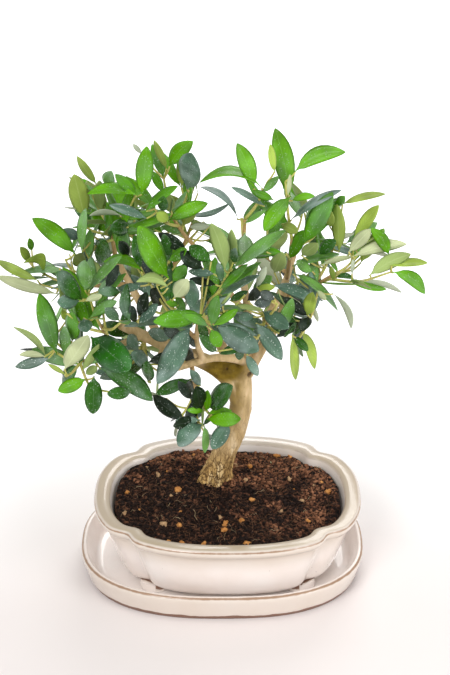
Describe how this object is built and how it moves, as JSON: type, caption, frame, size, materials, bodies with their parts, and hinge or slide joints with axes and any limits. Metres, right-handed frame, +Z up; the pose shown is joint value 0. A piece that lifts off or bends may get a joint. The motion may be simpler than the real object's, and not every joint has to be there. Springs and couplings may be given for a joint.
{
  "type": "olive bonsai tree in a pot",
  "caption": "Small olive bonsai with a leaning trunk, spreading boughs and an open leafy crown, in a lobed glazed pot on an oval drip tray.",
  "frame": {"origin": "centre of the drip tray's flat underside, at the base mount", "axes": "+Z up, +X to the right and +Y to the back as the plant is seen from its front"},
  "size_m": [0.2333, 0.1782, 0.2589],
  "materials": {
    "glaze": "glossy cream glaze with brown break lines",
    "soil": "dark fibrous potting mix with grit",
    "bark": "beige-tan bark, rough at the foot",
    "foliage_young": "semi-gloss bright green leaves",
    "foliage_middle": "semi-gloss green leaves",
    "foliage_old": "waxy blue-green leaves"
  },
  "bodies": {
    "root": {"drip_tray": "glaze", "pot": "glaze", "soil": "soil", "trunk": "bark", "bough_left": "bark", "bough_centre": "bark", "bough_right": "bark", "bough_front": "bark", "bough_back_left": "bark", "bough_back_right": "bark", "bough_left_high": "bark", "bough_left_low": "bark", "bough_front_riser": "bark", "bough_right_low": "bark", "bough_crown": "bark", "foliage_far_left": "foliage_young", "foliage_left_low": "foliage_middle", "foliage_left_front": "foliage_middle", "foliage_top_left": "foliage_young", "foliage_top_middle": "foliage_young", "foliage_centre_left": "foliage_middle", "foliage_centre_front": "foliage_young", "foliage_top_centre": "foliage_young", "foliage_top_right": "foliage_young", "foliage_far_right": "foliage_young", "foliage_right_low": "foliage_middle", "foliage_centre_right": "foliage_old", "foliage_low_cluster": "foliage_old", "foliage_heart_left": "foliage_old", "foliage_back_left": "foliage_middle", "foliage_back_left_low": "foliage_old", "foliage_back_top": "foliage_young", "foliage_back_right": "foliage_middle", "foliage_back_right_low": "foliage_old", "foliage_back_middle": "foliage_middle"}
  },
  "joints": []
}
